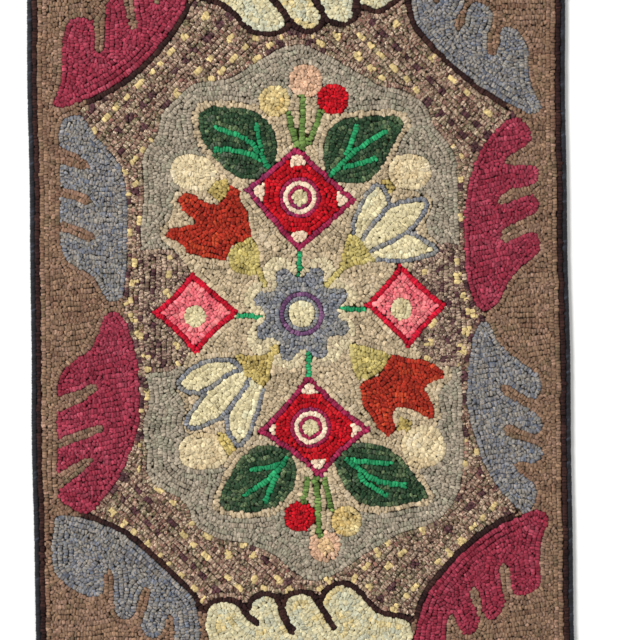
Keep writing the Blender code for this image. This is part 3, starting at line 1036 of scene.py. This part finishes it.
lightness = lightnessOf(tone)
paleLift = loopShape["paleLift"] * np.interp(lightness, loopShape["paleFrom"], (0, 1))
u, v, z = loopPoints(len(place))
turn = angle + np.radians(loopShape["turnSwing"]) * rng.standard_normal(len(place)).clip(-2, 2)
cosTurn, sinTurn = np.cos(turn)[:, None], np.sin(turn)[:, None]
centre = place + loopShape["placeSwing"] * rng.standard_normal(place.shape).clip(-1.5, 1.5)
loopX = centre[:, :1] + u * cosTurn - v * sinTurn
loopY = centre[:, 1:] + u * sinTurn + v * cosTurn
loopXyz = np.stack([loopX, loopY, z], 2) * mm
# Painted shade in the loops' point colours: the stitch underneath darker, and the shoulder ring where
# neighbours meet darker still, most for dark dyes; the speckle on top is random tone
shade = np.ones((len(place), loopCorners))
shade[:, :4] = loopShape["stitchShade"]
shade[:, 4:12] = np.interp(lightness, *loopShape["creaseShade"])[:, None]
shade *= 1 + loopShape["speckle"] * rng.standard_normal(shade.shape).clip(-2, 2)
oddTone = tone[:, None, :] * (1 - heather[:, None, None]) + stray * heather[:, None, None]
loopShadedTone = np.concatenate([tone[:, None, :] * shade[..., None], oddTone * shade[..., None]], 2)


def meshObject(name, points, faces, colours=None, uv=None, material=None):
    # triangles and smooth shading; the dye and the odd threads, with the painted shade of the loops or the
    # wraps multiplied in, are kept as point colours, and wool with one colour has it for both
    mesh = bpy.data.meshes.new(name)
    mesh.vertices.add(len(points))
    mesh.vertices.foreach_set("co", points.astype(np.float32).ravel())
    mesh.loops.add(faces.size)
    mesh.loops.foreach_set("vertex_index", faces.astype(np.int32).ravel())
    mesh.polygons.add(len(faces))
    mesh.polygons.foreach_set("loop_start", np.arange(0, faces.size, 3, dtype=np.int32))
    mesh.polygons.foreach_set("loop_total", np.full(len(faces), 3, np.int32))
    if uv is not None:
        layer = mesh.uv_layers.new(name="OFBake")
        layer.data.foreach_set("uv", uv.astype(np.float32).ravel())
    mesh.update(calc_edges=True)
    for k, layerName in enumerate(("dye", "oddThread") if colours is not None else ()):
        rgba = np.ones((len(points), 4), np.float32)
        rgba[:, :3] = colours[:, 3 * k:3 * k + 3] if colours.shape[1] > 3 else colours
        dyeLayer = mesh.color_attributes.new(layerName, "FLOAT_COLOR", "POINT")
        dyeLayer.data.foreach_set("color", rgba.ravel())
    mesh.shade_smooth()
    mesh.validate()
    thing = bpy.data.objects.new(name, mesh)
    bpy.context.scene.collection.objects.link(thing)
    if material:
        mesh.materials.append(material)
    return thing


# Shader node groups

def newGroup(name, inputs, outputs):
    group = bpy.data.node_groups.new(name, "ShaderNodeTree")
    for socketName, value in inputs:
        socket = group.interface.new_socket(socketName, in_out="INPUT", socket_type="NodeSocketFloat")
        socket.default_value = value
    for socketName in outputs:
        group.interface.new_socket(socketName, in_out="OUTPUT", socket_type="NodeSocketFloat")
    return group, group.nodes.new("NodeGroupInput"), group.nodes.new("NodeGroupOutput")


def addNode(tree, kind, settings=None, **values):
    node = tree.nodes.new(kind)
    for key, value in (settings or {}).items():
        setattr(node, key, value)
    for key, value in values.items():
        node.inputs[key.replace("_", " ")].default_value = value
    return node


def mathNode(tree, operation, *inputs):
    # a sum of numbers and of other nodes' outputs
    node = addNode(tree, "ShaderNodeMath", {"operation": operation})
    for socket, value in zip(node.inputs, inputs):
        if isinstance(value, float):
            socket.default_value = value
        else:
            tree.links.new(value, socket)
    return node.outputs[0]


def woolFibreGroup():
    # fine fibres and felted lumps: a shade to multiply the dye by, a roughness and a height
    group, given, result = newGroup(
        "woolFibre",
        [("Fibre Scale", 1400.0), ("Lump Scale", 420.0), ("Shade Swing", 0.3), ("Roughness", 0.85)],
        ["Shade", "Odd Threads", "Roughness", "Height"])
    link = group.links.new
    coords = addNode(group, "ShaderNodeTexCoord")
    fibre = addNode(group, "ShaderNodeTexNoise", Detail=3.0, Roughness=0.65, Distortion=0.8)
    lump = addNode(group, "ShaderNodeTexNoise", Detail=2.0, Roughness=0.5)
    thread = addNode(group, "ShaderNodeTexNoise", Scale=760.0, Detail=1.0, Roughness=0.5)
    for noise in (fibre, lump, thread):
        link(coords.outputs["Object"], noise.inputs["Vector"])
    link(given.outputs["Fibre Scale"], fibre.inputs["Scale"])
    link(given.outputs["Lump Scale"], lump.inputs["Scale"])
    lumpPart = mathNode(group, "MULTIPLY", lump.outputs["Fac"], 0.4)
    height = mathNode(group, "MULTIPLY_ADD", fibre.outputs["Fac"], 0.6, lumpPart)
    centred = mathNode(group, "SUBTRACT", height, 0.5)
    swing = mathNode(group, "MULTIPLY", centred, given.outputs["Shade Swing"])
    odd = addNode(group, "ShaderNodeMapRange", {"interpolation_type": "SMOOTHSTEP"},
                  From_Min=0.42, From_Max=0.58)
    link(thread.outputs["Fac"], odd.inputs["Value"])
    link(odd.outputs["Result"], result.inputs["Odd Threads"])
    link(mathNode(group, "MULTIPLY_ADD", swing, 4.0, 1.0), result.inputs["Shade"])
    rough = mathNode(group, "MULTIPLY_ADD", centred, 0.3, given.outputs["Roughness"])
    link(rough, result.inputs["Roughness"])
    link(height, result.inputs["Height"])
    return group


woolFibre = woolFibreGroup()


def newMaterial(name, **values):
    # a material, its nodes and its shader with the values that are the same all over
    material = bpy.data.materials.new(name)
    material.use_nodes = True
    shader = material.node_tree.nodes["Principled BSDF"]
    for key, value in values.items():
        shader.inputs[key.replace("_", " ")].default_value = value
    return material, material.node_tree, shader


def clothLook(tree, shader, colour, fibre, height, bump):
    # the fibres' shade, roughness and height on a colour
    link = tree.links.new
    tint = addNode(tree, "ShaderNodeVectorMath", {"operation": "SCALE"})
    link(colour, tint.inputs[0])
    link(fibre.outputs["Shade"], tint.inputs["Scale"])
    link(tint.outputs["Vector"], shader.inputs["Base Color"])
    link(fibre.outputs["Roughness"], shader.inputs["Roughness"])
    link(height, bump.inputs["Height"])
    link(bump.outputs["Normal"], shader.inputs["Normal"])


def dyedWool(name, look):
    # wool that takes its colour, painted shade included, from the points of the mesh
    material, tree, shader = newMaterial(name, Sheen_Weight=look["sheen"], Sheen_Roughness=0.5,
                                         Specular_IOR_Level=look["specular"])
    fibre = addNode(tree, "ShaderNodeGroup", {"node_tree": woolFibre})
    for key in ("Fibre Scale", "Lump Scale", "Shade Swing", "Roughness"):
        fibre.inputs[key].default_value = look[key]
    dye = addNode(tree, "ShaderNodeAttribute", {"attribute_name": "dye"})
    oddThread = addNode(tree, "ShaderNodeAttribute", {"attribute_name": "oddThread"})
    blend = addNode(tree, "ShaderNodeMix", {"data_type": "RGBA"})
    tree.links.new(fibre.outputs["Odd Threads"], blend.inputs["Factor"])
    tree.links.new(dye.outputs["Color"], blend.inputs["A"])
    tree.links.new(oddThread.outputs["Color"], blend.inputs["B"])
    bump = addNode(tree, "ShaderNodeBump", Strength=look["bump"], Distance=look["bumpDepth"])
    clothLook(tree, shader, blend.outputs["Result"], fibre, fibre.outputs["Height"], bump)
    return material


stripWool = {"Fibre Scale": 1000.0, "Lump Scale": 420.0, "Shade Swing": 0.4, "Roughness": 0.85,
             "sheen": 0.03, "specular": 0.1, "bump": 0.5, "bumpDepth": 0.0004}
pileMaterial = dyedWool("hookedStrips", stripWool)

# The pile, in six tiles, each a mesh of separate loops
tiles = {"across": 2, "along": 3, "margin": 8, "wallInset": 0.85, "capInset": 0.3}
low, high = rim.min(0), rim.max(0)
tileSize = (high - low) / (tiles["across"], tiles["along"])
tileOf = np.minimum(((place - low) / tileSize).astype(int), (tiles["across"] - 1, tiles["along"] - 1))
for column in range(tiles["across"]):
    for line in range(tiles["along"]):
        mine = np.nonzero((tileOf[:, 0] == column) & (tileOf[:, 1] == line))[0]
        points = loopXyz[mine]
        corner = (low + tileSize * (column, line) - tiles["margin"]) * mm
        span = (tileSize.max() + 2 * tiles["margin"]) * mm
        # in the unwrapped picture the walls and the underside lie inside the ring, each at its own inset
        uvPoints = (points[:, :, :2] - corner) / span
        middle = uvPoints[:, 12:].mean(1, keepdims=True)
        ring = uvPoints[:, [11, 5, 7, 9]]
        uvPoints[:, :4] = middle + (ring - middle) * tiles["wallInset"]
        uvAll = np.concatenate([uvPoints, middle + (ring - middle) * tiles["capInset"]], 1)
        uv = uvAll[:, loopFaces]
        vertexFaces = loopFaces % loopCorners
        faces = (np.arange(len(mine)) * loopCorners)[:, None, None] + vertexFaces[None]
        piece = meshObject(f"loopPile_{column + 1}{line + 1}", points.reshape(-1, 3), faces.reshape(-1, 3),
                           loopShadedTone[mine].reshape(-1, 6), uv.reshape(-1, 2), pileMaterial)
        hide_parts("hooked_rug")
        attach(piece, "root")


# Burlap foundation: a closed sheet of plain weave that the strips are pulled through
burlap = {"low": 0.5, "high": 1.3, "reach": 2.0, "rings": 22, "innermost": 0.02, "swell": 0.12,
          "thread": 2.0, "tan": (168, 138, 98), "dark": (112, 88, 58)}


def rimAt(reach):
    # the rim pushed outwards by reach, evenly enough for small reaches
    ahead, behind = np.roll(rim, -1, axis=0), np.roll(rim, 1, axis=0)
    edge = ahead - behind
    normal = np.stack([edge[:, 1], -edge[:, 0]], 1) / np.hypot(*edge.T)[:, None]
    return rim + normal * reach


def weaveGroup():
    # plain weave: threads go over and under each other by turns
    group, given, result = newGroup("plainWeave", [("Threads", 500.0)], ["Height"])
    coords = addNode(group, "ShaderNodeTexCoord")
    parts = addNode(group, "ShaderNodeSeparateXYZ")
    group.links.new(coords.outputs["Object"], parts.inputs[0])
    waves = []
    for axis in ("X", "Y"):
        scaled = mathNode(group, "MULTIPLY", parts.outputs[axis], given.outputs["Threads"])
        waves.append(mathNode(group, "SINE", mathNode(group, "MULTIPLY", scaled, math.pi)))
    product = mathNode(group, "MULTIPLY", *waves)
    group.links.new(mathNode(group, "MULTIPLY_ADD", product, 0.5, 0.5), result.inputs["Height"])
    return group


def burlapMaterial():
    material, tree, shader = newMaterial("burlapWeave", Specular_IOR_Level=0.2)
    weave = addNode(tree, "ShaderNodeGroup", {"node_tree": weaveGroup()}, Threads=1000 / burlap["thread"])
    fibre = addNode(tree, "ShaderNodeGroup", {"node_tree": woolFibre}, Shade_Swing=0.5, Roughness=0.9)
    # painted shade: the ramp darkens the weave where it lies low, between the threads
    ramp = addNode(tree, "ShaderNodeValToRGB")
    for stop, colour in zip(ramp.color_ramp.elements, ("dark", "tan")):
        stop.color = (*linear(burlap[colour]), 1)
    tree.links.new(weave.outputs["Height"], ramp.inputs["Fac"])
    bump = addNode(tree, "ShaderNodeBump", Strength=0.8, Distance=0.0006)
    clothLook(tree, shader, ramp.outputs["Color"], fibre, weave.outputs["Height"], bump)
    return material


def burlapSheet():
    # concentric rings of the rim's outline, top and bottom, joined round the edge
    outline = rimAt(burlap["reach"])
    rings = np.linspace(1, burlap["innermost"], burlap["rings"])
    count = len(outline)
    points, faces = [], []
    for side, height in enumerate((burlap["high"], burlap["low"])):
        for k, share in enumerate(rings):
            x, y = (outline * share).T
            swell = burlap["swell"] * np.sin(x / 31) * np.sin(y / 27)
            points.append(np.stack([x, y, height + swell], 1))
            if k:
                a = (side * len(rings) + k - 1) * count + np.arange(count)
                b = (side * len(rings) + k - 1) * count + (np.arange(count) + 1) % count
                quads = [(a, b, b + count), (a, b + count, a + count)]
                faces += [np.stack(q if side == 0 else q[::-1], 1) for q in quads]
    pts = np.concatenate(points)
    a, b = np.arange(count), (np.arange(count) + 1) % count
    lower = len(rings) * count
    faces += [np.stack((a + lower, b + lower, b), 1), np.stack((a + lower, b, a), 1)]
    for side in (0, 1):  # the small middle is a fan
        base = (side * len(rings) + len(rings) - 1) * count
        second = base + np.arange(1, count - 1)
        fan = np.stack((np.full(count - 2, base), second, second + 1), 1)
        faces.append(fan if side == 0 else fan[:, ::-1])
    return meshObject("burlapSheet", pts * mm, np.concatenate(faces), material=burlapMaterial())


foundation = burlapSheet()
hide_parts("hooked_rug")
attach(foundation, "root")
print("burlap made")


# Whipped edge: wool yarn wound over the folded edge, wrap beside wrap
whipping = {
    "gap": 0.3, "width": 6.9, "height": 5.85, "lift": 0.05, "pitch": 3.0, "slant": 1.3, "slantSwing": 0.25,
    "valley": 0.84, "bulge": 0.7, "flatness": 0.8, "sizeSwing": 0.05, "sizeMost": 1.03,
    "stations": 4, "profile": 10,  # cuts along a wrap, points round it
    "colours": [(22, 22, 28, 5), (32, 33, 40, 4), (52, 56, 66, 1)],  # sRGB and share
    # valleyShade is painted shade: a wrap's colour share in the valley, and what is added at its crest
    "toneSwing": 0.15, "valleyShade": (0.55, 0.45),
}


def whippedEdge():
    middle = rimAt(whipping["gap"] + whipping["width"] / 2)
    ring = np.vstack([middle, middle[:1]])
    s = lengthAlong(ring)
    wraps = round(s[-1] / whipping["pitch"])
    stations = wraps * whipping["stations"]
    phi = np.linspace(0, 2 * math.pi, whipping["profile"], endpoint=False) - math.pi / 2
    across, up = np.cos(phi), np.sin(phi)
    flat = np.sign(up) * np.abs(up) ** whipping["flatness"]
    phase = (np.arange(stations) % whipping["stations"]) / whipping["stations"]
    bulge = whipping["valley"] + (1 - whipping["valley"]) * np.sin(math.pi * phase) ** whipping["bulge"]
    wrapOf = np.arange(stations) // whipping["stations"]
    swing = 1 + whipping["sizeSwing"] * rng.standard_normal(wraps).clip(-1.5, 1.0)
    size = bulge * np.minimum(swing[wrapOf], whipping["sizeMost"])
    slantSwing = 1 + whipping["slantSwing"] * rng.standard_normal(wraps)
    at = np.arange(stations) / stations * s[-1]
    along = at[:, None] + whipping["slant"] * across[None, :] * slantSwing[wrapOf][:, None]
    along %= s[-1]
    x, y = pointAt(along, s, ring)
    dx, dy = np.subtract(pointAt((along + 1) % s[-1], s, ring), pointAt((along - 1) % s[-1], s, ring))
    length = np.hypot(dx, dy)
    reach = across[None, :] * size[:, None] * whipping["width"] / 2
    x = x + dy / length * reach
    y = y - dx / length * reach
    half, lift = whipping["height"] / 2, whipping["lift"]
    z = half + half * flat[None, :] * np.minimum(size[:, None], 1.0) + lift
    points = np.stack([x, y, np.maximum(z, lift)], 2).reshape(-1, 3)
    n = whipping["profile"]
    i, k = np.meshgrid(np.arange(stations), np.arange(n), indexing="ij")
    a, b = i * n + k, i * n + (k + 1) % n
    c, d = (i + 1) % stations * n + (k + 1) % n, (i + 1) % stations * n + k
    faces = np.concatenate([np.stack([a, d, c], 2), np.stack([a, c, b], 2)]).reshape(-1, 3)
    yarns = np.array(whipping["colours"], float)
    pick = rng.choice(len(yarns), wraps, p=yarns[:, 3] / yarns[:, 3].sum())
    swing = 1 + whipping["toneSwing"] * rng.standard_normal(wraps)
    base = linear(yarns[:, :3])[pick] * swing[:, None].clip(0.6, 1.5)
    low, more = whipping["valleyShade"]
    # painted shade: each wrap at full colour on its crest, darker towards the valleys between wraps
    tint = base[wrapOf] * (low + more * np.sin(math.pi * phase))[:, None]
    tint = np.repeat(tint[:, None, :], n, 1).reshape(-1, 3)
    return points * mm, faces, tint


yarnWool = {"Fibre Scale": 1800.0, "Lump Scale": 700.0, "Shade Swing": 0.5, "Roughness": 0.8,
            "sheen": 0.15, "specular": 0.3, "bump": 0.6, "bumpDepth": 0.0004}
points, faces, tint = whippedEdge()
whipped = meshObject("whippedEdge", points, faces, tint, material=dyedWool("whippingYarn", yarnWool))
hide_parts("binding")
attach(whipped, "root")
print("whipped edge made")


# Floor, light and camera
studio = {
    "floorSize": 16.0, "floorDrop": 0.0003, "floorColour": (246, 246, 244), "world": 0.468,
    "key": {"place": (-4.5, 2.25, 4.5), "power": 476.0, "size": 2.1},
    "fill": {"place": (1.4, -0.9, 1.9), "power": 8.2, "size": 2.0},
}


def floorPlane():
    half = studio["floorSize"] / 2
    corners = np.array([(-half, -half), (half, -half), (half, half), (-half, half)])
    points = np.column_stack([corners, np.full(4, -studio["floorDrop"])])
    material, _, _ = newMaterial("paleFloor", Base_Color=(*linear(studio["floorColour"]), 1),
                                 Roughness=0.9, Specular_IOR_Level=0.1)
    return meshObject("studioFloor", points, np.array([(0, 1, 2), (0, 2, 3)]), material=material)


def areaLight(name, light):
    # a soft lamp that looks at the rug's middle
    lamp = bpy.data.lights.new(name, "AREA")
    lamp.energy, lamp.size = light["power"], light["size"]
    thing = bpy.data.objects.new(name, lamp)
    thing.location = light["place"]
    thing.rotation_euler = (-Vector(light["place"])).to_track_quat("-Z", "Y").to_euler()
    bpy.context.scene.collection.objects.link(thing)


floorPlane()
areaLight("keyLight", studio["key"])
areaLight("fillLight", studio["fill"])
world = bpy.data.worlds.new("paleRoom")
world.use_nodes = True
background = world.node_tree.nodes["Background"]
background.inputs["Color"].default_value = (1.0, 1.0, 1.0, 1)
background.inputs["Strength"].default_value = studio["world"]
bpy.context.scene.world = world
bpy.context.scene.view_settings.view_transform = "Standard"

# Straight down; the frame is 720 mm wide at the crown of the pile
shot = {"aim": (0.0224, -0.0093), "height": 1.8, "crown": 0.0075, "turn": -0.85, "frameWidth": 0.720,
        "sensor": 36}
cameraData = bpy.data.cameras.new("camera")
cameraData.sensor_width = shot["sensor"]
cameraData.lens = shot["sensor"] * shot["height"] / shot["frameWidth"]
camera = bpy.data.objects.new("camera", cameraData)
camera.location = (*shot["aim"], shot["height"] + shot["crown"])
camera.rotation_euler = (0, 0, math.radians(shot["turn"]))
bpy.context.scene.collection.objects.link(camera)
bpy.context.scene.camera = camera
print("scene ready")
